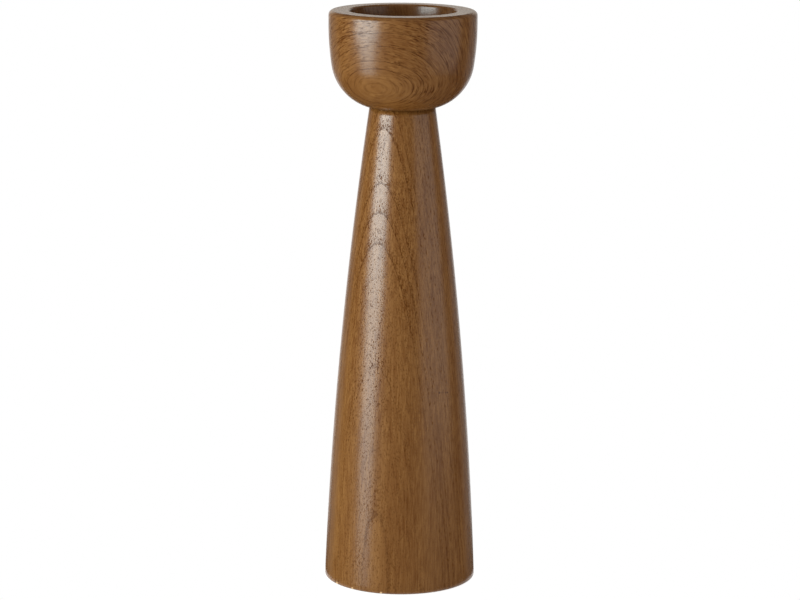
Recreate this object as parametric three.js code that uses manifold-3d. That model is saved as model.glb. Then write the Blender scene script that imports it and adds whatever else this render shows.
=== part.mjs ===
// A turned wooden candlestick for a pillar candle. A bowl-shaped cup is joined by a hidden
// dowel to a tall tapered stem. A metal liner lies loose in the cup, and a felt pad lies under
// the foot. Sizes are in millimetres, +Z is up, and the origin is the centre of the face that
// the candlestick stands on.

import * as THREE from 'three';
import { mergeVertices } from 'three/addons/utils/BufferGeometryUtils.js';
import Module from 'manifold-3d';

// The stem
const STEM_HEIGHT = 250.2;
const FOOT_RADIUS = 39.6;
const NECK_RADIUS = 17.1;
const SIDE_BULGE = 3.2;
const FOOT_ROUND = 0.8;
const FOOT_RIM_WIDTH = 6.7;

// The cup, whose side is an upright band, a long arc and a tight arc down to its seat on the stem
const CUP_HEIGHT = 49.9;
const CUP_WALL = 11.5;
const RIM_OUTER_ROUND = 2.5;
const RIM_INNER_ROUND = 1.4;
const UPRIGHT_BAND = 4.5;
const SIDE_ARC_RADIUS = 143;
const HEEL_ARC_RADIUS = 26;
const RECESS_DEPTH = 25.2;
const RECESS_CORNER_RADIUS = 1.5;
const MOUTH_HEIGHT = 9.5;
const MOUTH_FLARE = 0.7;

// The liner and the candle that it holds
const CANDLE_RADIUS = 25;
const CANDLE_CLEARANCE = 0.4;
const LINER_HEIGHT = 14;
const LINER_SHEET = 0.5;
const LINER_CORNER_RADIUS = 2;
const LINER_HEM_HEIGHT = 2.5;
const LINER_CLEARANCE = 0.35;

// The joining dowel and its two bores
const DOWEL_RADIUS = 5;
const DOWEL_LENGTH = 40;
const DOWEL_DEPTH_IN_CUP = 15;
const DOWEL_CHAMFER = 1;
const FLUTE_COUNT = 16;
const FLUTE_RADIUS = 0.6;
const FLUTE_DEPTH = 0.35;
const BORE_CLEARANCE = 0.3;
const BORE_END_ROOM = 1;
const BORE_MOUTH_CHAMFER = 0.5;

// The felt pad, and the film of glue under it and in the joint between cup and stem
const FELT_THICKNESS = 1.5;
const FELT_STANDS_PROUD = 0.5;
const FELT_CLEARANCE = 0.3;
const GLUE_FILM = 0.1;

// How finely curves are stepped
const TURNING_STEPS = 60;
const STEM_SIDE_STEPS = 16;
const CUP_SIDE_STEPS = 5;
const HEEL_STEPS = 14;
const ROUNDING_STEPS = 6;
const CORNER_STEPS = 4;
const MOUTH_STEPS = 4;
const CUTTER_STEPS = 8;

// Sizes that follow from those above
const LINER_INNER_RADIUS = CANDLE_RADIUS + CANDLE_CLEARANCE;
const LINER_OUTER_RADIUS = LINER_INNER_RADIUS + LINER_SHEET;
const LINER_HEM_RADIUS = LINER_OUTER_RADIUS + LINER_SHEET;
const RECESS_RADIUS = LINER_HEM_RADIUS + LINER_CLEARANCE;
const CUP_RADIUS = RECESS_RADIUS + CUP_WALL;
const BORE_RADIUS = DOWEL_RADIUS + BORE_CLEARANCE;
const CUP_BORE_DEPTH = DOWEL_DEPTH_IN_CUP + BORE_END_ROOM;
const STEM_BORE_DEPTH = DOWEL_LENGTH - DOWEL_DEPTH_IN_CUP + BORE_END_ROOM;
const FELT_RECESS_RADIUS = FOOT_RADIUS - FOOT_RIM_WIDTH;
const FELT_RECESS_DEPTH = FELT_THICKNESS + GLUE_FILM - FELT_STANDS_PROUD;
const QUARTER_TURN = Math.PI / 2;

const wasm = await Module();
wasm.setup();

// Points on an arc from one angle to another, both ends included. Angles are in radians, turned
// from the outward direction towards up.
function arcPoints(centreRadius, centreHeight, radius, startAngle, endAngle, steps) {
  const curve = new THREE.EllipseCurve(
    centreRadius, centreHeight, radius, radius, startAngle, endAngle, endAngle < startAngle,
  );
  return curve.getPoints(steps);
}

// Turns a profile of (radius, height) points about the upright axis. The profile starts and ends
// on the axis and runs upwards on the outside.
function turned(profile, steps) {
  const geometry = new THREE.LatheGeometry(profile, steps);
  geometry.rotateX(QUARTER_TURN);
  return geometry;
}

function point(radius, height) {
  return new THREE.Vector2(radius, height);
}

// The stem's side is one shallow arc: its chord runs from the top of the foot's rounding to the
// neck, and it stands out from the middle of that chord by the bulge.
function stemSide() {
  const low = point(FOOT_RADIUS, FOOT_ROUND);
  const high = point(NECK_RADIUS, STEM_HEIGHT);
  const chord = high.clone().sub(low);
  const halfChord = chord.length() / 2;
  const radius = (halfChord ** 2 + SIDE_BULGE ** 2) / (2 * SIDE_BULGE);
  const inward = point(-chord.y, chord.x).normalize();
  const centre = low.clone().add(high).multiplyScalar(0.5);
  centre.addScaledVector(inward, radius - SIDE_BULGE);
  const startAngle = Math.atan2(low.y - centre.y, low.x - centre.x);
  const endAngle = Math.atan2(high.y - centre.y, high.x - centre.x);
  return arcPoints(centre.x, centre.y, radius, startAngle, endAngle, STEM_SIDE_STEPS);
}

function stemGeometry() {
  const profile = [
    point(0, FELT_RECESS_DEPTH),
    point(FELT_RECESS_RADIUS, FELT_RECESS_DEPTH),
    point(FELT_RECESS_RADIUS, 0),
    ...arcPoints(FOOT_RADIUS - FOOT_ROUND, FOOT_ROUND, FOOT_ROUND, -QUARTER_TURN, 0, CORNER_STEPS),
    ...stemSide().slice(1),
    point(BORE_RADIUS + BORE_MOUTH_CHAMFER, STEM_HEIGHT),
    point(BORE_RADIUS, STEM_HEIGHT - BORE_MOUTH_CHAMFER),
    point(BORE_RADIUS, STEM_HEIGHT - STEM_BORE_DEPTH),
    point(0, STEM_HEIGHT - STEM_BORE_DEPTH),
  ];
  return turned(profile, TURNING_STEPS);
}

// The cup's side from its seat on the stem up to the upright band. The heel arc starts at the
// seat's edge and runs smoothly into the side arc, which ends upright. The heel arc's centre lies
// one heel radius from the seat's edge, and the difference of the two radii from the side arc's
// centre, so the cosine rule gives the angle at which the two arcs meet.
function cupSide() {
  const bandHeight = CUP_HEIGHT - RIM_OUTER_ROUND - UPRIGHT_BAND;
  const sideCentre = point(CUP_RADIUS - SIDE_ARC_RADIUS, bandHeight);
  const seatEdge = point(NECK_RADIUS, 0);
  const toSeat = seatEdge.clone().sub(sideCentre);
  const centreStep = SIDE_ARC_RADIUS - HEEL_ARC_RADIUS;
  const squares = centreStep ** 2 + toSeat.lengthSq() - HEEL_ARC_RADIUS ** 2;
  const betweenThem = Math.acos(squares / (2 * centreStep * toSeat.length()));
  const meetingAngle = Math.atan2(toSeat.y, toSeat.x) + betweenThem;
  const heelCentre = point(
    sideCentre.x + centreStep * Math.cos(meetingAngle),
    sideCentre.y + centreStep * Math.sin(meetingAngle),
  );
  const seatAngle = Math.atan2(seatEdge.y - heelCentre.y, seatEdge.x - heelCentre.x);
  return [
    ...arcPoints(heelCentre.x, heelCentre.y, HEEL_ARC_RADIUS, seatAngle, meetingAngle, HEEL_STEPS),
    ...arcPoints(sideCentre.x, sideCentre.y, SIDE_ARC_RADIUS, meetingAngle, 0, CUP_SIDE_STEPS).slice(1),
  ];
}

// The rim is flat on top and rounded at both edges. Inside, it leads into the mouth of the recess,
// which narrows along a shallow arc: upright at its foot, and flared outwards by MOUTH_FLARE at
// its top, MOUTH_HEIGHT above.
function cupRim() {
  const mouthRadius = (MOUTH_HEIGHT ** 2 + MOUTH_FLARE ** 2) / (2 * MOUTH_FLARE);
  const flareAngle = Math.asin(MOUTH_HEIGHT / mouthRadius);
  const outerHeight = CUP_HEIGHT - RIM_OUTER_ROUND;
  const innerHeight = CUP_HEIGHT - RIM_INNER_ROUND;
  const outerCentre = CUP_RADIUS - RIM_OUTER_ROUND;
  const innerCentre = RECESS_RADIUS + MOUTH_FLARE + RIM_INNER_ROUND * Math.cos(flareAngle);
  const mouthFoot = innerHeight + RIM_INNER_ROUND * Math.sin(flareAngle) - MOUTH_HEIGHT;
  const mouthCentre = RECESS_RADIUS + mouthRadius;
  const flareTop = Math.PI - flareAngle;
  return [
    ...arcPoints(outerCentre, outerHeight, RIM_OUTER_ROUND, 0, QUARTER_TURN, ROUNDING_STEPS),
    ...arcPoints(innerCentre, innerHeight, RIM_INNER_ROUND, QUARTER_TURN, flareTop, CORNER_STEPS),
    ...arcPoints(mouthCentre, mouthFoot, mouthRadius, flareTop, Math.PI, MOUTH_STEPS).slice(1),
  ];
}

function cupGeometry() {
  const floorHeight = CUP_HEIGHT - RECESS_DEPTH;
  const cornerCentre = point(RECESS_RADIUS - RECESS_CORNER_RADIUS, floorHeight + RECESS_CORNER_RADIUS);
  const profile = [
    point(0, CUP_BORE_DEPTH),
    point(BORE_RADIUS, CUP_BORE_DEPTH),
    point(BORE_RADIUS, BORE_MOUTH_CHAMFER),
    point(BORE_RADIUS + BORE_MOUTH_CHAMFER, 0),
    ...cupSide(),
    ...cupRim(),
    ...arcPoints(cornerCentre.x, cornerCentre.y, RECESS_CORNER_RADIUS, 0, -QUARTER_TURN, CORNER_STEPS),
    point(0, floorHeight),
  ];
  return turned(profile, TURNING_STEPS);
}

// A round dish of thin sheet. Its top edge is folded over outwards in a hem, so the edge that
// shows is a half round of two thicknesses.
function linerGeometry() {
  const cornerHeight = LINER_SHEET + LINER_CORNER_RADIUS;
  const cornerCentre = LINER_INNER_RADIUS - LINER_CORNER_RADIUS;
  const outerCorner = LINER_CORNER_RADIUS + LINER_SHEET;
  const edgeHeight = LINER_HEIGHT - LINER_SHEET;
  const profile = [
    point(0, 0),
    ...arcPoints(cornerCentre, cornerHeight, outerCorner, -QUARTER_TURN, 0, CORNER_STEPS),
    point(LINER_OUTER_RADIUS, LINER_HEIGHT - LINER_HEM_HEIGHT),
    point(LINER_HEM_RADIUS, LINER_HEIGHT - LINER_HEM_HEIGHT),
    ...arcPoints(LINER_OUTER_RADIUS, edgeHeight, LINER_SHEET, 0, Math.PI, ROUNDING_STEPS),
    ...arcPoints(cornerCentre, cornerHeight, LINER_CORNER_RADIUS, 0, -QUARTER_TURN, CORNER_STEPS),
    point(0, LINER_SHEET),
  ];
  return turned(profile, TURNING_STEPS);
}

function feltGeometry() {
  const radius = FELT_RECESS_RADIUS - FELT_CLEARANCE;
  const profile = [
    point(0, 0),
    point(radius, 0),
    point(radius, FELT_THICKNESS),
    point(0, FELT_THICKNESS),
  ];
  return turned(profile, TURNING_STEPS);
}

function toSolid(geometry) {
  geometry.deleteAttribute('normal');
  geometry.deleteAttribute('uv');
  const merged = mergeVertices(geometry);
  return new wasm.Manifold(new wasm.Mesh({
    numProp: 3,
    vertProperties: merged.attributes.position.array,
    triVerts: Uint32Array.from(merged.index.array),
  }));
}

function toGeometry(solid) {
  const mesh = solid.getMesh();
  const geometry = new THREE.BufferGeometry();
  geometry.setAttribute('position', new THREE.BufferAttribute(mesh.vertProperties, 3));
  geometry.setIndex(new THREE.BufferAttribute(mesh.triVerts, 1));
  geometry.computeVertexNormals();
  return geometry;
}

// A chamfered rod with straight flutes milled along it, which let the glue out of the bores.
function dowelGeometry() {
  const profile = [
    point(0, 0),
    point(DOWEL_RADIUS - DOWEL_CHAMFER, 0),
    point(DOWEL_RADIUS, DOWEL_CHAMFER),
    point(DOWEL_RADIUS, DOWEL_LENGTH - DOWEL_CHAMFER),
    point(DOWEL_RADIUS - DOWEL_CHAMFER, DOWEL_LENGTH),
    point(0, DOWEL_LENGTH),
  ];
  let dowel = toSolid(turned(profile, 3 * FLUTE_COUNT));
  const cutterLength = 2 * DOWEL_LENGTH;
  const cutterDistance = DOWEL_RADIUS + FLUTE_RADIUS - FLUTE_DEPTH;
  for (let flute = 0; flute < FLUTE_COUNT; flute += 1) {
    const angle = (flute / FLUTE_COUNT) * 2 * Math.PI;
    const cutter = new THREE.CylinderGeometry(FLUTE_RADIUS, FLUTE_RADIUS, cutterLength, CUTTER_STEPS);
    cutter.rotateX(QUARTER_TURN);
    cutter.translate(cutterDistance, 0, 0);
    cutter.rotateZ(angle);
    dowel = dowel.subtract(toSolid(cutter));
  }
  return toGeometry(dowel);
}

function piece(name, geometry, material) {
  const mesh = new THREE.Mesh(geometry, new THREE.MeshStandardMaterial(material));
  mesh.name = name;
  return mesh;
}

const felt = piece('felt_pad', feltGeometry(), { color: 0x3a322c, roughness: 1, metalness: 0 });

const stem = piece('stem', stemGeometry(), { color: 0x8a5c34, roughness: 0.4, metalness: 0 });
stem.position.z = FELT_STANDS_PROUD;

const cup = piece('cup', cupGeometry(), { color: 0x83562f, roughness: 0.4, metalness: 0 });

const dowel = piece('joining_dowel', dowelGeometry(), { color: 0xd9b88a, roughness: 0.8, metalness: 0 });
dowel.position.z = DOWEL_DEPTH_IN_CUP - DOWEL_LENGTH;

const liner = piece('candle_liner', linerGeometry(), { color: 0xb4b2ad, roughness: 0.35, metalness: 1 });
liner.position.z = CUP_HEIGHT - RECESS_DEPTH;

const cupGroup = new THREE.Group();
cupGroup.position.z = FELT_STANDS_PROUD + STEM_HEIGHT + GLUE_FILM;
cupGroup.add(cup, dowel, liner);

const candlestick = new THREE.Group();
candlestick.add(felt, stem, cupGroup);

export default candlestick;
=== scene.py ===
# A turned wooden candlestick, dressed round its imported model. Each section below is one piece, in
# the order in which the candlestick is put together, and then come the floor, light and camera.

import math
from functools import partial

import bpy
import numpy as np
from mathutils import Matrix, Vector


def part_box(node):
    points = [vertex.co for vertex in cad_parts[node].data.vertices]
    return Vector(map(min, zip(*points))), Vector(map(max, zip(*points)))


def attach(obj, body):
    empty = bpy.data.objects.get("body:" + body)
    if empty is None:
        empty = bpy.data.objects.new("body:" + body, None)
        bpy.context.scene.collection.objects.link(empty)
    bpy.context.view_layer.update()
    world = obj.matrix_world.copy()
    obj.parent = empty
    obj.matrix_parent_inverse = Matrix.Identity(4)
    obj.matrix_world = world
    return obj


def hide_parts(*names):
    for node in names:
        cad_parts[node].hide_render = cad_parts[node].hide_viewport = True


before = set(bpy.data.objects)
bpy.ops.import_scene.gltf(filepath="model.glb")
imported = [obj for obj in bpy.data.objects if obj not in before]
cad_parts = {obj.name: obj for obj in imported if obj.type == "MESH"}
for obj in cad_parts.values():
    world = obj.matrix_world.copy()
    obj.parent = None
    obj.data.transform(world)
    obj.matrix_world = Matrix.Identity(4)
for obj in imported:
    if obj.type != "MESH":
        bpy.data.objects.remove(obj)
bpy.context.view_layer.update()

# The stem. One blank of brown hardwood with upright grain, turned to a tall taper whose side is a
# single shallow arc, drilled in its top face for the dowel, hollowed a little under the foot for
# the felt, sanded, and varnished to a satin.
STEM_LOW, STEM_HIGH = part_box("stem")
FELT_LOW, FELT_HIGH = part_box("felt_pad")
FOOT_RADIUS = STEM_HIGH.x
NECK_RADIUS = 0.0171
SIDE_BULGE = 0.0032
FOOT_ROUND = 0.0008
NECK_EDGE_ROUND = 0.0003
FELT_CLEARANCE = 0.0003
GLUE_FILM = 0.0001
BORE_RADIUS = 0.0053
BORE_MOUTH_CHAMFER = 0.0005
STEM_BORE_DEPTH = 0.026
EDGE_SUPPORT = 0.00012
EDGE_SUPPORT_SHARE = 0.3
SAME_PLACE = 1e-7
WOOD_SIDES = 448
SIDE_STEPS = 90
RECESS_FAN_RADIUS = 0.002
BORE_FAN_RADIUS = 0.001
QUARTER_TURN = math.pi / 2
FULL_TURN = 2 * math.pi
MILLIMETRES = 1000


def arc(centre, radius, start, end, steps):
    """Rows of (radius, height) on a circular arc: the centre plus the radius times the cosine and
    the sine of angles in even steps from start to end."""
    angle = np.linspace(start, end, steps + 1)
    return np.column_stack((centre[0] + radius * np.cos(angle), centre[1] + radius * np.sin(angle)))


def run(start, end, steps):
    """Rows of (radius, height) on a straight line, in even steps, with one more row close to each
    end, so that smooth shading turns the corner there and nowhere else."""
    start, end = np.array(start), np.array(end)
    near = min(EDGE_SUPPORT_SHARE, EDGE_SUPPORT / np.linalg.norm(end - start))
    share = np.unique(np.concatenate(([0, near], np.linspace(0, 1, steps + 1), [1 - near, 1])))
    return start + share[:, None] * (end - start)


def profile(*stretches):
    """The stretches one after another as one outline, without the rows that repeat."""
    rows = np.vstack(stretches)
    moved = np.linalg.norm(np.diff(rows, axis=0), axis=1) > SAME_PLACE
    return rows[np.concatenate(([True], moved))]


def turned_rings(outline, sides):
    """A surface of revolution as an array of rings: each outline row's radius times the cosine and
    the sine of angles in even steps round the axis, at the row's height."""
    angle = np.arange(sides) * (FULL_TURN / sides)
    radius, height = outline[:, 0, None], outline[:, 1, None]
    return np.stack((radius * np.cos(angle), radius * np.sin(angle), height + 0 * angle), axis=-1)


def closed_turning(name, rings, low_pole, high_pole):
    """A smooth closed mesh: four-sided faces between neighbouring rings, and a fan from the first
    and the last ring to the heights low_pole and high_pole on the axis."""
    rows, sides = rings.shape[:2]
    place = np.arange(rows * sides).reshape(rows, sides)
    after = np.roll(place, -1, axis=1)
    quads = np.stack((place[:-1], after[:-1], after[1:], place[1:]), axis=-1).reshape(-1, 4)
    low_fan = np.column_stack((after[0], place[0], np.full(sides, rows * sides)))
    high_fan = np.column_stack((place[-1], after[-1], np.full(sides, rows * sides + 1)))
    points = np.vstack((rings.reshape(-1, 3), ((0, 0, low_pole), (0, 0, high_pole))))
    mesh = bpy.data.meshes.new(name)
    mesh.from_pydata(points.tolist(), [], [*quads.tolist(), *low_fan.tolist(), *high_fan.tolist()])
    mesh.shade_smooth()
    piece = bpy.data.objects.new(name, mesh)
    bpy.context.scene.collection.objects.link(piece)
    return piece


def stem_side():
    """The arc from the top of the foot's rounding to the neck that stands out from the middle of
    its chord by SIDE_BULGE: radius = (half chord squared + bulge squared) / twice the bulge."""
    low = np.array((FOOT_RADIUS, STEM_LOW.z + FOOT_ROUND))
    high = np.array((NECK_RADIUS, STEM_HIGH.z))
    chord = high - low
    half = np.linalg.norm(chord) / 2
    radius = (half**2 + SIDE_BULGE**2) / (2 * SIDE_BULGE)
    inward = np.array((-chord[1], chord[0])) / (2 * half)
    centre = (low + high) / 2 + inward * (radius - SIDE_BULGE)
    start = math.atan2(low[1] - centre[1], low[0] - centre[0])
    end = math.atan2(high[1] - NECK_EDGE_ROUND - centre[1], high[0] - centre[0])
    return arc(centre, radius, start, end, SIDE_STEPS)


def stem_outline():
    """From the middle of the felt's recess round the foot, up the side, over the neck and down the
    bore to the middle of its bottom."""
    recess_radius = FELT_HIGH.x + FELT_CLEARANCE
    recess_top = FELT_HIGH.z + GLUE_FILM
    foot = (FOOT_RADIUS - FOOT_ROUND, STEM_LOW.z + FOOT_ROUND)
    neck = (NECK_RADIUS - NECK_EDGE_ROUND, STEM_HIGH.z - NECK_EDGE_ROUND)
    bore_low = STEM_HIGH.z - STEM_BORE_DEPTH
    mouth = STEM_HIGH.z - BORE_MOUTH_CHAMFER
    return profile(
        run((RECESS_FAN_RADIUS, recess_top), (recess_radius, recess_top), 6),
        run((recess_radius, recess_top), (recess_radius, STEM_LOW.z), 2),
        run((recess_radius, STEM_LOW.z), (foot[0], STEM_LOW.z), 3),
        arc(foot, FOOT_ROUND, -QUARTER_TURN, 0, 6),
        stem_side(),
        arc(neck, NECK_EDGE_ROUND, 0, QUARTER_TURN, 4),
        run((neck[0], STEM_HIGH.z), (BORE_RADIUS + BORE_MOUTH_CHAMFER, STEM_HIGH.z), 3),
        run((BORE_RADIUS + BORE_MOUTH_CHAMFER, STEM_HIGH.z), (BORE_RADIUS, mouth), 2),
        run((BORE_RADIUS, mouth), (BORE_RADIUS, bore_low), 4),
        run((BORE_RADIUS, bore_low), (BORE_FAN_RADIUS, bore_low), 2),
    )


def fill(tree, node, values):
    """Fills each named or numbered input of a node from another node's output or with a value."""
    for name, value in values.items():
        if isinstance(value, bpy.types.NodeSocket):
            tree.links.new(value, node.inputs[name])
        else:
            node.inputs[name].default_value = value


def add(tree, kind, inputs=None, **settings):
    """Adds a node to a tree, sets its properties, and fills its inputs. Returns the node."""
    made = tree.nodes.new(kind)
    for name, value in settings.items():
        setattr(made, name, value)
    fill(tree, made, inputs or {})
    return made


def maths(tree, operation, *values):
    """The output of a Math node on one, two or three values or outputs."""
    return add(tree, "ShaderNodeMath", dict(enumerate(values)), operation=operation).outputs[0]


def vector_maths(tree, operation, *values, **inputs):
    """The output of a Vector Math node: a number for a length, a distance or a dot product, and a
    vector for any other operation."""
    inputs = {**dict(enumerate(values)), **inputs}
    made = add(tree, "ShaderNodeVectorMath", inputs, operation=operation)
    number = operation in ("LENGTH", "DISTANCE", "DOT_PRODUCT")
    return made.outputs["Value" if number else "Vector"]


def scaled(tree, vector, x, y, z):
    """A vector output times three factors."""
    return vector_maths(tree, "MULTIPLY", vector, (x, y, z))


def ramp(tree, value, low, high, low_out=0.0, high_out=1.0):
    """A smooth step of a value: low_out up to low, high_out from high on."""
    inputs = {0: value, 1: low, 2: high, 3: low_out, 4: high_out}
    made = add(tree, "ShaderNodeMapRange", inputs, interpolation_type="SMOOTHSTEP")
    return made.outputs[0]


def blend_colour(tree, share, first, second):
    """The output of a colour Mix node, from first at share 0 to second at share 1. On that node
    inputs 0, 6 and 7 are the share and the two colours, and output 2 is the result."""
    return add(tree, "ShaderNodeMix", {0: share, 6: first, 7: second}, data_type="RGBA").outputs[2]


def noise(tree, output="Fac", dimensions="3D", **inputs):
    """An output of a Noise Texture whose Scale is 1 unless another is given."""
    inputs = {"Scale": 1.0, **inputs}
    return add(tree, "ShaderNodeTexNoise", inputs, noise_dimensions=dimensions).outputs[output]


def bump(tree, height, strength, distance):
    """The normal of a Bump node."""
    inputs = {"Height": height, "Strength": strength, "Distance": distance}
    return add(tree, "ShaderNodeBump", inputs).outputs[0]


def object_place(tree):
    """The place on the piece, which is its place in the frame, in metres."""
    return add(tree, "ShaderNodeTexCoord").outputs["Object"]


def new_material(name):
    """A new material, its node tree and its shader."""
    material = bpy.data.materials.new(name)
    material.use_nodes = True
    tree = material.node_tree
    return material, tree, tree.nodes["Principled BSDF"]


def colour(red, green, blue):
    """A linear colour from sRGB levels out of 255."""
    levels = np.array((red, green, blue)) / 255
    linear = np.where(levels <= 0.04045, levels / 12.92, ((levels + 0.055) / 1.055) ** 2.4)
    return (*linear.tolist(), 1.0)


# The numbers that the wood figure takes from each material
FIGURE_NUMBERS = (
    "Ring Spacing",
    "Ring Offset",
    "Ring Seed",
    "Ring Unevenness",
    "Ring Contrast",
    "Line Width",
    "Waviness",
    "Dash Turns",
    "Dash Shortness",
    "Dash Fineness",
    "Dash Contrast",
    "Fibre Turns",
    "Fibre Shortness",
    "Fibre Fineness",
    "Fibre Contrast",
    "Tone Contrast",
    "Pore Size",
    "Pore Contrast",
    "Plain Level",
    "Quiet Level",
    "Calm Radius",
    "Varnish Break",
    "Varnish Level",
)
# Its fixed numbers. A pitch is in steps per millimetre, and where it has three numbers, they are
# across the grain in two directions and along it. A range is the two ends of a smooth step.
PUSH_PITCH = (0.03, 0.03, 0.007)
FIGURED_RANGE = (0.88, 0.985)
PATCH_PITCH = (0.08, 0.08, 0.02)
PATCH_RANGE = (0.4, 0.6)
CALM_FADE, CALM_LEVEL = 4.0, 0.5
UNEVEN_PITCH = 0.55
LINE_CHANCE_RANGE, FAINTEST_LINE = (0.0, 0.9), 0.1
LINE_PEAK = 0.35
NEAR_LINE_RANGE = (0.3, 0.9)
LINES_PER_RING, BETWEEN_WIDTH, BETWEEN_DEPTH = 3.0, 2.2, 0.3
LINE_BREAK_RANGE, LINE_BREAK_LEVEL = (0.36, 0.52), 0.5
PLAIN_LINE_LEVEL = 0.4
DASH_START, DASH_GATHERING, DASH_EDGE = 0.545, 0.07, 0.09
PORE_PITCH = (1.35, 1.35, 0.28)
PORE_RANGE = (0.6, 1.1)
SMALLEST_PORE, PORE_GROWTH = 0.4, 0.75
TONE_TURNS_SHARE, TONE_PITCH, TONE_FINENESS = 0.12, 0.008, 0.35
NOISE_MIDDLE, NOISE_DETAIL, FIBRE_ROUGHNESS, TONE_ROUGHNESS = 0.5, 2.0, 0.6, 0.5
DASH_HOLLOW, LINE_HOLLOW, FIBRE_RELIEF = 0.8, 0.5, 0.5


def wood_figure():
    """A node group that cuts any surface out of a block of wood. Its vector has the pith as its Z
    axis. Growth rings are whole numbers of (distance from the pith / spacing + offset), with the
    distance pushed about by slow noise. Each ring ends in a thin dark line, whose depth comes from
    the ring's number and a seed, with fainter lines between. Dashes, fibres and tone are noise over
    the direction from the pith, the distance from it and the length along the grain, so they follow
    the rings without a seam. Pores are thin tubes along the grain. Lines and dashes are strongest
    towards the figured side, where a surface lies along the rings, and fall to the plain level
    where it cuts across them. Dashes and fibres fade to the quiet level in patches, and again
    outside the calm radius. The varnish is thinner over pores, dashes and lines, and uneven over
    the fibres, by as much as its break says."""
    group = bpy.data.node_groups.new("wood_figure", "ShaderNodeTree")
    face = group.interface
    for name in ("Vector", "Figured Side"):
        face.new_socket(name, in_out="INPUT", socket_type="NodeSocketVector")
    for name in FIGURE_NUMBERS:
        face.new_socket(name, in_out="INPUT", socket_type="NodeSocketFloat")
    for name in ("Light", "Dark", "Line"):
        face.new_socket(name, in_out="INPUT", socket_type="NodeSocketColor")
    face.new_socket("Color", in_out="OUTPUT", socket_type="NodeSocketColor")
    for name in ("Height", "Varnish"):
        face.new_socket(name, in_out="OUTPUT", socket_type="NodeSocketFloat")
    given = add(group, "NodeGroupInput").outputs
    times, times_plus, plus, minus, over, larger, fraction, whole = (
        partial(maths, group, operation)
        for operation in (
            "MULTIPLY", "MULTIPLY_ADD", "ADD", "SUBTRACT", "DIVIDE", "MAXIMUM", "FRACT", "FLOOR"
        )
    )
    step = partial(ramp, group)

    # Millimetres from here on, with the grain pushed about by slow noise
    place = scaled(group, given["Vector"], MILLIMETRES, MILLIMETRES, MILLIMETRES)
    slow = noise(group, "Color", Vector=scaled(group, place, *PUSH_PITCH), Detail=3.0)
    push = vector_maths(group, "SUBTRACT", slow, (NOISE_MIDDLE,) * 3)
    push = vector_maths(group, "SCALE", push, Scale=given["Waviness"])
    wavy = vector_maths(group, "ADD", place, push)
    across = scaled(group, wavy, 1, 1, 0)
    radius = vector_maths(group, "LENGTH", across)
    outward = vector_maths(group, "NORMALIZE", across)
    along = add(group, "ShaderNodeSeparateXYZ", {0: wavy}).outputs["Z"]
    facing = vector_maths(group, "DOT_PRODUCT", outward, given["Figured Side"])
    strength = step(facing, *FIGURED_RANGE, given["Plain Level"], 1.0)

    def ring_noise(turns, shortness, fineness, roughness):
        """Noise that follows the rings: turns is how quickly it changes round the pith, shortness
        along the grain in patches per millimetre, and fineness away from the pith."""
        turned = vector_maths(group, "SCALE", outward, Scale=turns)
        lift = add(group, "ShaderNodeCombineXYZ", {"Z": times(along, shortness)}).outputs[0]
        spot = vector_maths(group, "ADD", turned, lift)
        depth = times(radius, fineness)
        look = {"Detail": NOISE_DETAIL, "Roughness": roughness}
        return noise(group, dimensions="4D", Vector=spot, W=depth, **look)

    def ring_lines(count, width):
        """A thin line before each whole number of a count of rings, with its own depth, and how
        near the place is to the line."""
        phase = fraction(count)
        number = plus(whole(count), given["Ring Seed"])
        chance = add(group, "ShaderNodeTexWhiteNoise", {"W": number}, noise_dimensions="1D")
        depth = step(chance.outputs["Value"], *LINE_CHANCE_RANGE, FAINTEST_LINE, 1.0)
        start = minus(1.0, width)
        full = times_plus(width, -LINE_PEAK, 1.0)
        line = times(step(phase, start, full), step(phase, full, 1.0, 1.0, 0.0))
        return times(line, depth), times(step(phase, *NEAR_LINE_RANGE), depth)

    # Busy and quiet patches, and calm outer rings
    patch = noise(group, Vector=scaled(group, place, *PATCH_PITCH), Detail=1.0)
    patch = step(patch, *PATCH_RANGE, given["Quiet Level"], 1.0)
    past = minus(radius, given["Calm Radius"])
    patch = times(patch, step(past, -CALM_FADE, 0.0, 1.0, CALM_LEVEL))

    # Rings of uneven width, and fainter lines between them
    ring = plus(over(radius, given["Ring Spacing"]), given["Ring Offset"])
    uneven = noise(group, dimensions="1D", W=times(ring, UNEVEN_PITCH))
    ring = plus(ring, times(uneven, given["Ring Unevenness"]))
    width = given["Line Width"]
    line, near_line = ring_lines(ring, width)
    between, _ = ring_lines(times(ring, LINES_PER_RING), times(width, BETWEEN_WIDTH))
    line = larger(line, times(between, BETWEEN_DEPTH))

    # Dashes gather towards the line of each ring, and break it up
    dash = ring_noise(
        given["Dash Turns"], given["Dash Shortness"], given["Dash Fineness"], FIBRE_ROUGHNESS
    )
    line = times(line, step(dash, *LINE_BREAK_RANGE, LINE_BREAK_LEVEL, 1.0))
    line = times(line, times_plus(strength, 1 - PLAIN_LINE_LEVEL, PLAIN_LINE_LEVEL))
    reach = times_plus(near_line, -DASH_GATHERING, DASH_START)
    dash = step(minus(dash, reach), 0.0, DASH_EDGE)
    dash = times(dash, times(strength, patch))

    # Pores: cells drawn out along the grain, dark within a small distance of their centre, which
    # grows towards the line of each ring
    cells = {"Vector": scaled(group, wavy, *PORE_PITCH), "Scale": 1.0}
    off = add(group, "ShaderNodeTexVoronoi", cells, feature="F1").outputs["Distance"]
    size = times(times_plus(near_line, PORE_GROWTH, SMALLEST_PORE), given["Pore Size"])
    pore = step(over(off, size), *PORE_RANGE, 1.0, 0.0)

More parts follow.
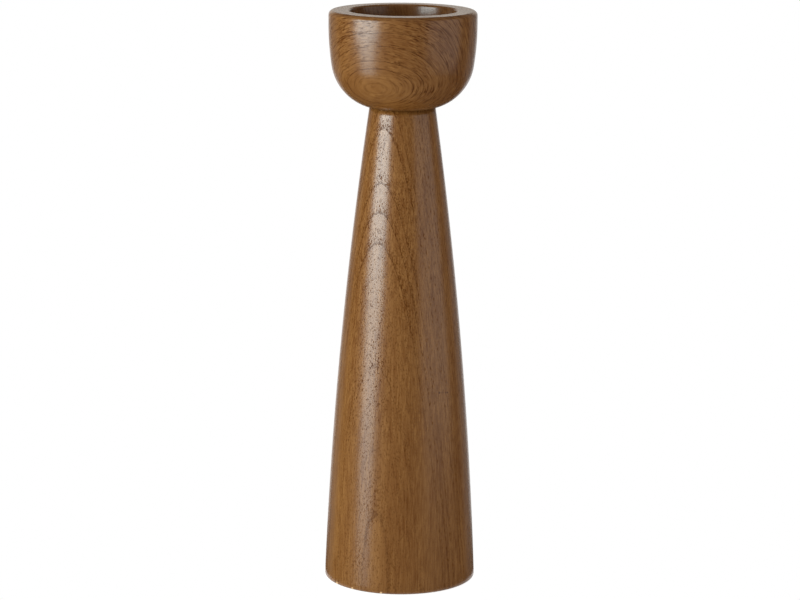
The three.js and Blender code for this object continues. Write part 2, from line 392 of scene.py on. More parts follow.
    # Fine fibres and slow changes of tone
    fibre = ring_noise(
        given["Fibre Turns"], given["Fibre Shortness"], given["Fibre Fineness"], FIBRE_ROUGHNESS
    )
    few_turns = times(given["Dash Turns"], TONE_TURNS_SHARE)
    tone = ring_noise(few_turns, TONE_PITCH, TONE_FINENESS, TONE_ROUGHNESS)
    fibre_level = times(times(minus(fibre, NOISE_MIDDLE), given["Fibre Contrast"]), patch)
    tone_level = times(minus(tone, NOISE_MIDDLE), given["Tone Contrast"])
    level = plus(plus(fibre_level, tone_level), 0.5)
    shade = blend_colour(group, level, given["Dark"], given["Light"])
    for mask, contrast in (
        (line, "Ring Contrast"),
        (dash, "Dash Contrast"),
        (pore, "Pore Contrast"),
    ):
        shade = blend_colour(group, times(mask, given[contrast]), shade, given["Line"])

    # Hollows, which the varnish doesn't fill
    hollow = larger(larger(pore, times(dash, DASH_HOLLOW)), times(line, LINE_HOLLOW))
    uneven_coat = times(times(minus(fibre, NOISE_MIDDLE), FIBRE_RELIEF), patch)
    coat = minus(uneven_coat, hollow)
    coat = times_plus(coat, given["Varnish Break"], given["Varnish Level"])
    relief = minus(times(fibre, FIBRE_RELIEF), hollow)
    results = {"Color": shade, "Height": relief, "Varnish": step(coat, 0.0, 1.0)}
    add(group, "NodeGroupOutput", results)
    return group


WOOD = wood_figure()


def bare_wood(name, pith_point, pith_direction, values):
    """A material cut out of a block of wood whose pith runs through a point in a direction. A
    Mapping node turns that direction upright and moves the point onto the Z axis. Returns the
    material and its figure, the wood group's node."""
    material, tree, shader = new_material(name)
    turn = Vector(pith_direction).rotation_difference(Vector((0, 0, 1)))
    block = {
        "Vector": object_place(tree),
        "Location": -(turn @ Vector(pith_point)),
        "Rotation": turn.to_euler(),
    }
    block = add(tree, "ShaderNodeMapping", block).outputs[0]
    figure = add(tree, "ShaderNodeGroup", node_tree=WOOD)
    fill(tree, figure, {"Vector": block, **values})
    look = {
        "Base Color": figure.outputs["Color"],
        "Normal": bump(tree, figure.outputs["Height"], strength=0.5, distance=0.0001),
        "Roughness": 0.6,
        "Specular IOR Level": 0.0,
    }
    fill(tree, shader, look)
    return material, figure


def varnished_wood(name, pith_point, pith_direction, values):
    """Wood under a satin varnish, a clear coat that is thin or broken over pores and lines."""
    material, figure = bare_wood(name, pith_point, pith_direction, values)
    tree = material.node_tree
    coat = {"Coat Weight": figure.outputs["Varnish"], "Coat Roughness": 0.26, "Coat IOR": 1.56}
    fill(tree, tree.nodes["Principled BSDF"], coat)
    return material, figure


def on_side(azimuth, height):
    """The point of the stem's side at a height and an azimuth in degrees, counted to the right
    from the side towards the viewer."""
    side = stem_side()
    radius = float(np.interp(height, side[:, 1], side[:, 0]))
    turn = math.radians(azimuth)
    return (radius * math.sin(turn), -radius * math.cos(turn), height)


def worn(material, figure):
    """Blends small marks of use into the wood's colour, each within a small distance of a point of
    the side: pale chips on the foot's edge, and a short dark scratch, which is a row of spots."""
    tree = material.node_tree
    where = object_place(tree)
    shade = figure.outputs["Color"]
    for azimuth, height, size, strength, tone in (*CHIPS, *SCRATCH):
        off = vector_maths(tree, "DISTANCE", where, on_side(azimuth, height))
        shade = blend_colour(tree, ramp(tree, off, size / 2, size, strength, 0.0), shade, tone)
    fill(tree, tree.nodes["Principled BSDF"], {"Base Color": shade})


WOOD_LIGHT, WOOD_DARK, WOOD_LINE = colour(134, 92, 47), colour(95, 54, 15), colour(67, 33, 4)
CHIPPED = colour(214, 176, 128)
CHIP_HEIGHT = STEM_LOW.z + 0.0006
# Marks, each an azimuth in degrees, a height, a size, a strength and a colour
CHIPS = (
    (-56.0, CHIP_HEIGHT, 0.0011, 0.8, CHIPPED),
    (-38.5, CHIP_HEIGHT, 0.0008, 0.8, CHIPPED),
    (-14.0, CHIP_HEIGHT, 0.0008, 0.8, CHIPPED),
)
SCRATCH = (
    (37.0, 0.10555, 0.0008, 0.75, WOOD_LINE),
    (39.4, 0.1054, 0.0006, 0.35, WOOD_LINE),
    (41.8, 0.1052, 0.0006, 0.35, WOOD_LINE),
    (44.2, 0.105, 0.0006, 0.5, WOOD_LINE),
    (46.5, 0.10485, 0.0007, 0.7, WOOD_LINE),
)
STEM_PITH_POINT = (0.0112, 0.0235, 0.125)
STEM_PITH_DIRECTION = (0.036, 0.031, 1.0)
stem = closed_turning(
    "stem_turning",
    turned_rings(stem_outline(), WOOD_SIDES),
    FELT_HIGH.z + GLUE_FILM,
    STEM_HIGH.z - STEM_BORE_DEPTH,
)
stem_wood, stem_figure = varnished_wood(
    "stem_varnished_wood",
    STEM_PITH_POINT,
    STEM_PITH_DIRECTION,
    {
        "Figured Side": (-0.43, -0.903, 0.0),
        "Ring Spacing": 1.2,
        "Ring Offset": -0.208,
        "Ring Seed": 45220.0,
        "Ring Unevenness": 0.0,
        "Ring Contrast": 0.65,
        "Line Width": 0.13,
        "Waviness": 1.0,
        "Dash Turns": 90.0,
        "Dash Shortness": 0.8,
        "Dash Fineness": 9.0,
        "Dash Contrast": 0.8,
        "Fibre Turns": 80.0,
        "Fibre Shortness": 0.09,
        "Fibre Fineness": 2.2,
        "Fibre Contrast": 2.2,
        "Tone Contrast": 0.9,
        "Pore Size": 0.3,
        "Pore Contrast": 0.55,
        "Plain Level": 0.35,
        "Quiet Level": 0.7,
        "Calm Radius": 61.5,
        "Varnish Break": 0.9,
        "Varnish Level": 0.95,
        "Light": WOOD_LIGHT,
        "Dark": WOOD_DARK,
        "Line": WOOD_LINE,
    },
)
worn(stem_wood, stem_figure)
stem.data.materials.append(stem_wood)
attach(stem, "candlestick")
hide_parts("stem")

# The felt pad. A disc punched from pressed felt and glued into the recess under the foot, which it
# stands a little proud of, so that the wood doesn't scratch the table.
FELT_EDGE_ROUND = 0.0004
FELT_FAN_RADIUS = 0.0005
FELT_SIDES = 192
UNDERSIDE_STEPS = 44
FUZZ_HEIGHT = 0.00012
# Each wave's direction in radians, and its radians per millimetre
FUZZ_WAVES = ((0.3, 2.1), (1.2, 2.9), (2.0, 3.7), (2.8, 4.6))
FUZZ_PHASE = 5


def felt_outline():
    """The disc's outline from the middle of its underside round a softly pressed edge."""
    low, high, radius = FELT_LOW.z, FELT_HIGH.z, FELT_HIGH.x
    under = (radius - FELT_EDGE_ROUND, low + FELT_EDGE_ROUND)
    upper = (radius - FELT_EDGE_ROUND, high - FELT_EDGE_ROUND)
    return profile(
        run((FELT_FAN_RADIUS, low), (under[0], low), UNDERSIDE_STEPS),
        arc(under, FELT_EDGE_ROUND, -QUARTER_TURN, 0, 4),
        arc(upper, FELT_EDGE_ROUND, 0, QUARTER_TURN, 4),
        run((upper[0], high), (FELT_FAN_RADIUS, high), 4),
    )


def fuzzy(rings):
    """The rings with each point of the underside lifted by up to the fuzz's height, as much as the
    sum of the sines of four waves across the disc, so that the pressed fibres stand unevenly."""
    x, y, _ = np.moveaxis(rings * MILLIMETRES, -1, 0)
    waves = np.zeros_like(x)
    for turn, pitch in FUZZ_WAVES:
        waves += np.sin(pitch * (x * math.cos(turn) + y * math.sin(turn)) + FUZZ_PHASE * turn)
    lift = FUZZ_HEIGHT * (0.5 + waves / (2 * len(FUZZ_WAVES)))
    under = rings[..., 2] < FELT_LOW.z + FELT_EDGE_ROUND
    lifted = rings.copy()
    lifted[..., 2] += np.where(under, lift, 0.0)
    return lifted


def felt_material():
    """Brown fibres pressed together: fine noise in colour and height, and a soft sheen."""
    material, tree, shader = new_material("brown_felt")
    place = {"Vector": object_place(tree), "Scale": (MILLIMETRES, MILLIMETRES, MILLIMETRES)}
    place = add(tree, "ShaderNodeMapping", place).outputs[0]
    look = {"Scale": 1.5, "Detail": 6.0, "Roughness": 0.75, "Distortion": 2.0}
    fuzz = noise(tree, Vector=place, **look)
    shade = blend_colour(tree, ramp(tree, fuzz, 0.3, 0.7), colour(38, 30, 26), colour(78, 66, 58))
    look = {
        "Base Color": shade,
        "Normal": bump(tree, fuzz, strength=0.8, distance=0.0004),
        "Roughness": 0.95,
        "Specular IOR Level": 0.2,
        "Sheen Weight": 0.35,
    }
    fill(tree, shader, look)
    return material


felt = closed_turning(
    "felt_disc", fuzzy(turned_rings(felt_outline(), FELT_SIDES)), FELT_LOW.z, FELT_HIGH.z
)
felt.data.materials.append(felt_material())
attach(felt, "candlestick")
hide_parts("felt_pad")

# The joining dowel. A fluted peg of pale beech with chamfered ends, glued into both bores. It
# holds the cup to the stem and is out of sight. Its flutes let the glue out of the bores.
DOWEL_LOW, DOWEL_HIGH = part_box("joining_dowel")
DOWEL_RADIUS = 0.005
DOWEL_CHAMFER = 0.001
DOWEL_FAN_RADIUS = 0.0005
DOWEL_PITH_POINT = (0.012, 0.03, 0.0)
DOWEL_PITH_DIRECTION = (0.0, 0.0, 1.0)
FLUTE_COUNT = 16
FLUTE_RADIUS = 0.0006
FLUTE_DEPTH = 0.00035
FLUTE_STEPS = 22


def fluted(rings):
    """The rings with straight round flutes along them. A flute's axis runs at a distance from the
    dowel's own, so where it cuts, the radius at an angle from the flute's middle is distance times
    cosine minus the root of (flute radius squared minus distance times sine, squared)."""
    distance = DOWEL_RADIUS + FLUTE_RADIUS - FLUTE_DEPTH
    angle = np.arange(rings.shape[1]) * (FULL_TURN / rings.shape[1])
    pitch = FULL_TURN / FLUTE_COUNT
    off = (angle + pitch / 2) % pitch - pitch / 2
    inside = FLUTE_RADIUS**2 - (distance * np.sin(off)) ** 2
    cut = distance * np.cos(off) - np.sqrt(np.maximum(inside, 0))
    limit = np.where(inside > 0, cut, DOWEL_RADIUS)
    radius = np.hypot(rings[..., 0], rings[..., 1])
    rings = rings.copy()
    rings[..., :2] *= (np.minimum(radius, limit) / radius)[..., None]
    return rings


def dowel_outline():
    """From the middle of the low end to the middle of the high end, both chamfered."""
    low, high = DOWEL_LOW.z, DOWEL_HIGH.z
    end = DOWEL_RADIUS - DOWEL_CHAMFER
    return profile(
        run((DOWEL_FAN_RADIUS, low), (end, low), 2),
        run((end, low), (DOWEL_RADIUS, low + DOWEL_CHAMFER), 3),
        run((DOWEL_RADIUS, low + DOWEL_CHAMFER), (DOWEL_RADIUS, high - DOWEL_CHAMFER), 12),
        run((DOWEL_RADIUS, high - DOWEL_CHAMFER), (end, high), 3),
        run((end, high), (DOWEL_FAN_RADIUS, high), 2),
    )


dowel = closed_turning(
    "fluted_dowel",
    fluted(turned_rings(dowel_outline(), FLUTE_COUNT * FLUTE_STEPS)),
    DOWEL_LOW.z,
    DOWEL_HIGH.z,
)
beech, _ = bare_wood(
    "bare_beech",
    DOWEL_PITH_POINT,
    DOWEL_PITH_DIRECTION,
    {
        "Figured Side": (0.0, 0.0, 0.0),
        "Ring Spacing": 1.6,
        "Ring Offset": 0.0,
        "Ring Seed": 0.0,
        "Ring Unevenness": 0.8,
        "Ring Contrast": 0.3,
        "Line Width": 0.3,
        "Waviness": 1.0,
        "Dash Turns": 40.0,
        "Dash Shortness": 0.5,
        "Dash Fineness": 2.0,
        "Dash Contrast": 0.3,
        "Fibre Turns": 60.0,
        "Fibre Shortness": 0.2,
        "Fibre Fineness": 2.0,
        "Fibre Contrast": 1.0,
        "Tone Contrast": 0.6,
        "Pore Size": 0.12,
        "Pore Contrast": 0.3,
        "Plain Level": 1.0,
        "Quiet Level": 0.3,
        "Calm Radius": 1000.0,
        "Varnish Break": 0.0,
        "Varnish Level": 0.0,
        "Light": colour(228, 200, 158),
        "Dark": colour(210, 174, 128),
        "Line": colour(160, 118, 78),
    },
)
dowel.data.materials.append(beech)
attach(dowel, "candlestick")
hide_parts("joining_dowel")

# The cup. A bowl turned from a second blank of the same hardwood, whose grain leans towards the
# viewer, so that its growth rings show as an oval and arcs. It is hollowed for the liner and the
# candle, sanded and varnished as the stem is, and glued over the dowel, flat on the stem.
CUP_LOW, CUP_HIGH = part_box("cup")
LINER_LOW, LINER_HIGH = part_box("candle_liner")
CUP_RADIUS = CUP_HIGH.x
RIM_OUTER_ROUND = 0.0025
RIM_INNER_ROUND = 0.0014
UPRIGHT_BAND = 0.0045
MOUTH_HEIGHT = 0.0095
MOUTH_FLARE = 0.0007
SIDE_ARC_RADIUS = 0.143
HEEL_ARC_RADIUS = 0.026
LINER_CLEARANCE = 0.00035
RECESS_CORNER_RADIUS = 0.0015
CUP_BORE_DEPTH = 0.016


def cup_side():
    """The heel arc and the side arc, which meet smoothly. The heel arc's centre lies one heel
    radius from the seat's edge and the difference of the radii from the side arc's centre, so the
    cosine rule gives the angle at which they meet."""
    band = CUP_HIGH.z - RIM_OUTER_ROUND - UPRIGHT_BAND
    side = np.array((CUP_RADIUS - SIDE_ARC_RADIUS, band))
    seat = np.array((NECK_RADIUS, CUP_LOW.z))
    reach = np.linalg.norm(seat - side)
    step = SIDE_ARC_RADIUS - HEEL_ARC_RADIUS
    between = math.acos((step**2 + reach**2 - HEEL_ARC_RADIUS**2) / (2 * step * reach))
    meeting = math.atan2(seat[1] - side[1], seat[0] - side[0]) + between
    heel = side + step * np.array((math.cos(meeting), math.sin(meeting)))
    start = math.atan2(seat[1] - heel[1], seat[0] - heel[0])
    lower = arc(heel, HEEL_ARC_RADIUS, start, meeting, 40)
    upper = arc(side, SIDE_ARC_RADIUS, meeting, 0, 16)
    return np.vstack((lower, upper[1:]))


def cup_mouth(recess):
    """The rounding at the rim's inner edge, and below it the shallow arc along which the recess's
    mouth narrows: its radius is (height squared + flare squared) / twice the flare."""
    radius = (MOUTH_HEIGHT**2 + MOUTH_FLARE**2) / (2 * MOUTH_FLARE)
    flare = math.asin(MOUTH_HEIGHT / radius)
    edge = (recess + MOUTH_FLARE + RIM_INNER_ROUND * math.cos(flare), CUP_HIGH.z - RIM_INNER_ROUND)
    foot = edge[1] + RIM_INNER_ROUND * math.sin(flare) - MOUTH_HEIGHT
    rounding = arc(edge, RIM_INNER_ROUND, QUARTER_TURN, math.pi - flare, 12)
    narrowing = arc((recess + radius, foot), radius, math.pi - flare, math.pi, 16)
    return np.vstack((rounding, narrowing[1:]))


def cup_outline():
    """From the middle of the bore's top down the bore, out along the seat, up the side, over the
    rim and down the recess to the middle of its floor."""
    recess = LINER_HIGH.x + LINER_CLEARANCE
    inside = cup_mouth(recess)
    floor = LINER_LOW.z
    top = CUP_HIGH.z
    bore_top = CUP_LOW.z + CUP_BORE_DEPTH
    mouth = CUP_LOW.z + BORE_MOUTH_CHAMFER
    outer = (CUP_RADIUS - RIM_OUTER_ROUND, top - RIM_OUTER_ROUND)
    corner = (recess - RECESS_CORNER_RADIUS, floor + RECESS_CORNER_RADIUS)
    return profile(
        run((BORE_FAN_RADIUS, bore_top), (BORE_RADIUS, bore_top), 2),
        run((BORE_RADIUS, bore_top), (BORE_RADIUS, mouth), 4),
        run((BORE_RADIUS, mouth), (BORE_RADIUS + BORE_MOUTH_CHAMFER, CUP_LOW.z), 2),
        run((BORE_RADIUS + BORE_MOUTH_CHAMFER, CUP_LOW.z), (NECK_RADIUS, CUP_LOW.z), 3),
        cup_side(),
        run((CUP_RADIUS, top - RIM_OUTER_ROUND - UPRIGHT_BAND), (CUP_RADIUS, outer[1]), 3),
        arc(outer, RIM_OUTER_ROUND, 0, QUARTER_TURN, 14),
        run((outer[0], top), inside[0], 5),
        inside,
        run(inside[-1], (recess, corner[1]), 8),
        arc(corner, RECESS_CORNER_RADIUS, 0, -QUARTER_TURN, 6),
        run((corner[0], floor), (RECESS_FAN_RADIUS, floor), 6),
    )


def painted_recess_shade(material, figure):
    """Blends the wood's colour towards dark inside the recess, above its floor and nearer to the
    axis than the rim's inner edge: painted shade on the wall, where little light comes in."""
    tree = material.node_tree
    where = object_place(tree)
    height = add(tree, "ShaderNodeSeparateXYZ", {0: where}).outputs["Z"]
    radius = vector_maths(tree, "LENGTH", scaled(tree, where, 1, 1, 0))
    edge = LINER_HIGH.x + LINER_CLEARANCE + MOUTH_FLARE
    inner = ramp(tree, radius, edge, edge + RECESS_SHADE_EDGE_FADE, RECESS_SHADE_SHARE, 0.0)
    above = ramp(tree, height, LINER_LOW.z - 2 * RECESS_SHADE_FLOOR_FADE, LINER_LOW.z - RECESS_SHADE_FLOOR_FADE)
    share = maths(tree, "MULTIPLY", inner, above)
    shade = blend_colour(tree, share, figure.outputs["Color"], WOOD_LINE)
    fill(tree, tree.nodes["Principled BSDF"], {"Base Color": shade})


# Painted shade inside the cup's recess: how far its wall is blended towards dark, and the distances
# over which that fades at the rim's inner edge and above the floor
RECESS_SHADE_SHARE = 0.4
RECESS_SHADE_EDGE_FADE = 0.0007
RECESS_SHADE_FLOOR_FADE = 0.002
CUP_LIGHT, CUP_DARK = colour(130, 89, 45), colour(91, 51, 14)
CUP_PITH_POINT = (0.0133, 0.0304, 0.2871)
CUP_PITH_DIRECTION = (-0.246, -0.391, 0.887)
cup = closed_turning(
    "cup_turning",
    turned_rings(cup_outline(), WOOD_SIDES),
    CUP_LOW.z + CUP_BORE_DEPTH,
    LINER_LOW.z,
)
cup_wood, cup_figure = varnished_wood(
    "cup_varnished_wood",
    CUP_PITH_POINT,
    CUP_PITH_DIRECTION,
    {
        "Figured Side": (0.0, 0.0, 0.0),
        "Ring Spacing": 1.45,
        "Ring Offset": -0.034,
        "Ring Seed": 31094.0,
        "Ring Unevenness": 0.0,
        "Ring Contrast": 0.95,
        "Line Width": 0.14,
        "Waviness": 1.5,
        "Dash Turns": 18.0,
        "Dash Shortness": 0.2,
        "Dash Fineness": 4.8,
        "Dash Contrast": 0.85,
        "Fibre Turns": 16.0,
        "Fibre Shortness": 0.18,
        "Fibre Fineness": 4.2,
        "Fibre Contrast": 2.5,
        "Tone Contrast": 0.9,
        "Pore Size": 0.2,
        "Pore Contrast": 0.3,
        "Plain Level": 1.0,
        "Quiet Level": 0.6,
        "Calm Radius": 69.0,
        "Varnish Break": 0.48,
        "Varnish Level": 0.83,
        "Light": CUP_LIGHT,
        "Dark": CUP_DARK,
        "Line": WOOD_LINE,
    },
)
# Painted shade on the recess's wall
painted_recess_shade(cup_wood, cup_figure)
cup.data.materials.append(cup_wood)
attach(cup, "candlestick")
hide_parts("cup")

# The candle liner. A dish spun from thin steel sheet with its edge hemmed outwards. It lies loose
# on the recess's floor, keeps flame and wax off the wood, and lifts out to be cleaned.
LINER_SHEET = 0.0005
LINER_CORNER_RADIUS = 0.002
LINER_HEM_HEIGHT = 0.0025
HEM_EDGE_ROUND = 0.0002
LINER_FAN_RADIUS = 0.001
LINER_SIDES = 288


def liner_outline():
    """From the middle of the underside out and up the wall, under the hem and over it, and down
    the inside to the middle of the floor."""
    low, top = LINER_LOW.z, LINER_HIGH.z
    hem = LINER_HIGH.x
    outer = hem - LINER_SHEET
    inner = outer - LINER_SHEET
    corner = (inner - LINER_CORNER_RADIUS, low + LINER_SHEET + LINER_CORNER_RADIUS)
    hem_foot = top - LINER_HEM_HEIGHT
    hem_edge = (hem - HEM_EDGE_ROUND, hem_foot + HEM_EDGE_ROUND)
    return profile(
        run((LINER_FAN_RADIUS, low), (corner[0], low), 8),
        arc(corner, LINER_CORNER_RADIUS + LINER_SHEET, -QUARTER_TURN, 0, 12),
        run((outer, corner[1]), (outer, hem_foot), 4),
        run((outer, hem_foot), (hem_edge[0], hem_foot), 1),
        arc(hem_edge, HEM_EDGE_ROUND, -QUARTER_TURN, 0, 4),
        run((hem, hem_edge[1]), (hem, top - LINER_SHEET), 2),
        arc((outer, top - LINER_SHEET), LINER_SHEET, 0, math.pi, 16),
        run((inner, top - LINER_SHEET), (inner, corner[1]), 6),
        arc(corner, LINER_CORNER_RADIUS, 0, -QUARTER_TURN, 12),
        run((corner[0], low + LINER_SHEET), (LINER_FAN_RADIUS, low + LINER_SHEET), 8),
    )


def spun_steel():
    """Bare steel with fine turning marks: noise over the distance from the axis, in the height."""
    material, tree, shader = new_material("spun_steel")
    flat = scaled(tree, object_place(tree), MILLIMETRES, MILLIMETRES, 0)
    pitch = maths(tree, "MULTIPLY", vector_maths(tree, "LENGTH", flat), MARKS_PER_MILLIMETRE)
    marks = noise(tree, dimensions="1D", W=pitch, Detail=4.0)
    look = {
        "Normal": bump(tree, marks, strength=0.3, distance=0.00005),
        "Base Color": colour(186, 184, 180),
        "Metallic": 1.0,
        "Roughness": 0.34,
    }
    fill(tree, shader, look)
    return material


MARKS_PER_MILLIMETRE = 6.0
liner = closed_turning(
    "liner_dish",
    turned_rings(liner_outline(), LINER_SIDES),
    LINER_LOW.z,
    LINER_LOW.z + LINER_SHEET,
)
liner.data.materials.append(spun_steel())
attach(liner, "liner")
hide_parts("candle_liner")

# The floor. A small round plinth with a pale top. The camera and mirror-like surfaces see it
# almost white, and it keeps a faint shadow of the candlestick.
FLOOR_RADIUS = 0.043
FLOOR_THICKNESS = 0.02
FLOOR_SIDES = 128
STAGE_FAN_RADIUS = 0.01
LIT_LEVEL, SEEN_LEVEL, SEEN_GLOW = 0.8, 0.4, 0.88


def seen_directly(tree):
    """1 for rays that come from the camera, or from a surface by reflection or through it, and 0
    for the rays that light a surface."""
    seen = add(tree, "ShaderNodeLightPath").outputs
    direct = maths(tree, "MAXIMUM", seen["Is Camera Ray"], seen["Is Glossy Ray"])
    return maths(tree, "MAXIMUM", direct, seen["Is Transmission Ray"])


def grey(level):
    """A linear grey from black at 0 to white at 1."""
    return (level, level, level, 1)


def pale_floor():
    """A matt pale surface. Where it is seen directly it is darker, so that its shadow shows, and
    glows to make up for that."""
    material, tree, _ = new_material("pale_table")
    tree.nodes.clear()
    matt = add(tree, "ShaderNodeBsdfDiffuse", {"Color": grey(LIT_LEVEL)}).outputs[0]
    faint = add(tree, "ShaderNodeBsdfDiffuse", {"Color": grey(SEEN_LEVEL)}).outputs[0]
    glow = {"Color": grey(1), "Strength": SEEN_GLOW}
    glow = add(tree, "ShaderNodeEmission", glow).outputs[0]
    white = add(tree, "ShaderNodeAddShader", {0: faint, 1: glow}).outputs[0]
    surface = {0: seen_directly(tree), 1: matt, 2: white}
    surface = add(tree, "ShaderNodeMixShader", surface).outputs[0]
    add(tree, "ShaderNodeOutputMaterial", {"Surface": surface})
    return material


floor_outline = profile(
    run((STAGE_FAN_RADIUS, -FLOOR_THICKNESS), (FLOOR_RADIUS, -FLOOR_THICKNESS), 2),
    run((FLOOR_RADIUS, -FLOOR_THICKNESS), (FLOOR_RADIUS, 0.0), 2),
    run((FLOOR_RADIUS, 0.0), (STAGE_FAN_RADIUS, 0.0), 2),
)
floor = closed_turning(
    "table_top", turned_rings(floor_outline, FLOOR_SIDES), -FLOOR_THICKNESS, 0.0
)
floor.data.materials.append(pale_floor())

# The light. Three soft boxes one above another on the left, a weak reflector on the right, and a
# white backdrop. Only reflections see the dark studio round them. It is open to the backdrop at the
# rear, and has a pale blind over the opening's upper part, a grey wing beside it and a ceiling.
SOFTBOX_AZIMUTH = math.radians(58)
SOFTBOX_DISTANCE = 1.0
SOFTBOX_WIDTH = 0.72
SOFTBOX_SPAN = (0.14, 0.74)
SOFTBOX_POWER = 12.0
SOFTBOX_TINT = (0.9, 1.0, 1.0)
LOW_SOFTBOX_WIDTH = 0.42
LOW_SOFTBOX_SPAN = (-0.06, 0.14)
LOW_SOFTBOX_POWER = 1.25
FLOOR_SOFTBOX_WIDTH = 0.4
FLOOR_SOFTBOX_SPAN = (-0.2, -0.06)
FLOOR_SOFTBOX_POWER = 0.5
REFLECTOR_AZIMUTH = math.radians(-67)
REFLECTOR_DISTANCE = 0.9
REFLECTOR_WIDTH = 1.0
REFLECTOR_SPAN = (-0.05, 0.85)
REFLECTOR_POWER = 2.0
AMBIENT_ABOVE, AMBIENT_BELOW = 0.58, 0.95
HORIZON_RANGE = (-0.5, 0.1)
STUDIO_RADIUS = 2.3
STUDIO_LOW, STUDIO_HIGH = -0.6, 1.05
STUDIO_SIDES = 72
OPENING = math.radians(25)
WING_END = math.radians(55)
BLIND_LOW = 0.4
DARK_CLOTH_LEVEL = 0.04
BLIND_LEVEL, BLIND_TINT = 1.0, (1.0, 0.96, 0.88)
WING_LEVEL, WING_TINT = 0.25, (0.6, 0.85, 1.0)
CEILING_LEVEL, CEILING_TINT = 0.12, (1.0, 1.0, 1.0)


def soft_light(name, azimuth, distance, span, width, power, tint=(1.0, 1.0, 1.0)):
    """A rectangular lamp that stands at an azimuth to the viewer's left, spans two heights, and
    faces the object."""
    lamp = bpy.data.lights.new(name, "AREA")
    lamp.shape = "RECTANGLE"
    lamp.size, lamp.size_y = width, span[1] - span[0]
    lamp.energy = power
    lamp.color = tint
    stand = bpy.data.objects.new(name, lamp)
    height = (span[0] + span[1]) / 2
    stand.location = (-distance * math.sin(azimuth), -distance * math.cos(azimuth), height)
    stand.rotation_euler = (QUARTER_TURN, 0, -azimuth)
    bpy.context.scene.collection.objects.link(stand)


soft_light(
    "left_softbox",
    SOFTBOX_AZIMUTH,
    SOFTBOX_DISTANCE,
    SOFTBOX_SPAN,
    SOFTBOX_WIDTH,
    SOFTBOX_POWER,
    SOFTBOX_TINT,
)
soft_light(
    "low_left_softbox",
    SOFTBOX_AZIMUTH,
    SOFTBOX_DISTANCE,
    LOW_SOFTBOX_SPAN,
    LOW_SOFTBOX_WIDTH,
    LOW_SOFTBOX_POWER,
    SOFTBOX_TINT,
)
soft_light(
    "floor_left_softbox",
    SOFTBOX_AZIMUTH,
    SOFTBOX_DISTANCE,
    FLOOR_SOFTBOX_SPAN,
    FLOOR_SOFTBOX_WIDTH,
    FLOOR_SOFTBOX_POWER,
    SOFTBOX_TINT,
)
soft_light(
    "right_reflector",
    REFLECTOR_AZIMUTH,
    REFLECTOR_DISTANCE,
    REFLECTOR_SPAN,
    REFLECTOR_WIDTH,
    REFLECTOR_POWER,
)

world = bpy.data.worlds.new("white_backdrop")
bpy.context.scene.world = world
world.use_nodes = True
sky = world.node_tree
towards = add(sky, "ShaderNodeTexCoord").outputs["Generated"]
upwards = add(sky, "ShaderNodeSeparateXYZ", {0: towards}).outputs["Z"]
ambient = ramp(sky, upwards, *HORIZON_RANGE, AMBIENT_BELOW, AMBIENT_ABOVE)
backdrop = ramp(sky, seen_directly(sky), 0.0, 1.0, ambient, 1.0)
fill(sky, sky.nodes["Background"], {"Color": grey(1), "Strength": backdrop})


def dark_cloth():
    """Black cloth that reflects very little."""
    material, tree, shader = new_material("dark_cloth")
    look = {"Base Color": grey(DARK_CLOTH_LEVEL), "Roughness": 1.0, "Specular IOR Level": 0.0}
    fill(tree, shader, look)
    return material


def glowing_cloth(name, tint, level):
    """A cloth that gives off a plain even light, and reflects none."""
    material, tree, shader = new_material(name)
    look = {
        "Base Color": grey(0),
        "Specular IOR Level": 0.0,
        "Emission Color": (*tint, 1),
        "Emission Strength": level,
    }
    fill(tree, shader, look)
    return material


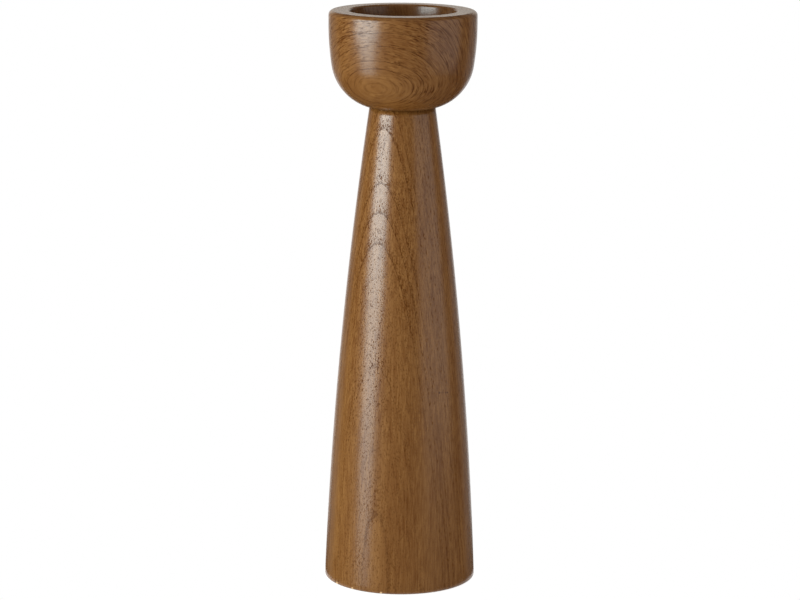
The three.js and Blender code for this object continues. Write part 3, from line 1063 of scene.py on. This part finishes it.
def dark_studio():
    """A wide drum of dark cloth, left open where the backdrop shows below the blind. It is the
    outline from the middle of the ground to the middle of the ceiling, carried round a circle, with
    a cloth for each face: dark, the blind, the wings or the ceiling."""
    outline = np.array(
        (
            (STAGE_FAN_RADIUS, STUDIO_LOW),
            (STUDIO_RADIUS, STUDIO_LOW),
            (STUDIO_RADIUS, BLIND_LOW),
            (STUDIO_RADIUS, STUDIO_HIGH),
            (STAGE_FAN_RADIUS, STUDIO_HIGH),
        )
    )
    place = np.arange(outline.shape[0] * STUDIO_SIDES).reshape(-1, STUDIO_SIDES)
    after = np.roll(place, -1, axis=1)
    ground, wall, upper_wall, ceiling = np.stack(
        (place[:-1], place[1:], after[1:], after[:-1]), axis=-1
    )
    turn = (np.arange(STUDIO_SIDES) + 0.5) * (FULL_TURN / STUDIO_SIDES)
    off = np.abs(turn - QUARTER_TURN)
    wings = (off > OPENING) & (off < WING_END)
    cloths = (
        np.vstack((ground, wall[off > WING_END], upper_wall[off > WING_END])),
        upper_wall[off < OPENING],
        np.vstack((wall[wings], upper_wall[wings])),
        ceiling,
    )
    mesh = bpy.data.meshes.new("studio_cloth")
    points = turned_rings(outline, STUDIO_SIDES).reshape(-1, 3)
    mesh.from_pydata(points.tolist(), [], np.vstack(cloths).tolist())
    mesh.materials.append(dark_cloth())
    mesh.materials.append(glowing_cloth("pale_blind", BLIND_TINT, BLIND_LEVEL))
    mesh.materials.append(glowing_cloth("grey_wings", WING_TINT, WING_LEVEL))
    mesh.materials.append(glowing_cloth("grey_ceiling", CEILING_TINT, CEILING_LEVEL))
    kinds = np.repeat(np.arange(len(cloths)), [len(faces) for faces in cloths])
    mesh.polygons.foreach_set("material_index", kinds.tolist())
    studio = bpy.data.objects.new("studio_cloth", mesh)
    bpy.context.scene.collection.objects.link(studio)
    studio.visible_camera = studio.visible_diffuse = studio.visible_shadow = False
    return studio


dark_studio()

# The camera. It stands in front, higher than the rim, and looks down at the candlestick through a
# long lens, tipped a fraction of a degree as the photograph is.
CAMERA_PLACE = (-0.00064, -1.5094, 0.4635)
CAMERA_PITCH = 0.2055
CAMERA_ROLL = 0.00645
CAMERA_LENS = 132.66
SENSOR_WIDTH = 36.0
CLIP_NEAR, CLIP_FAR = 0.05, 20
lens = bpy.data.cameras.new("camera")
lens.lens = CAMERA_LENS
lens.sensor_width = SENSOR_WIDTH
lens.clip_start, lens.clip_end = CLIP_NEAR, CLIP_FAR
camera = bpy.data.objects.new("camera", lens)
camera.location = CAMERA_PLACE
tilt = Matrix.Rotation(QUARTER_TURN - CAMERA_PITCH, 3, "X")
camera.rotation_euler = (tilt @ Matrix.Rotation(CAMERA_ROLL, 3, "Z")).to_euler()
bpy.context.scene.collection.objects.link(camera)
bpy.context.scene.camera = camera
bpy.context.scene.view_settings.view_transform = "Standard"
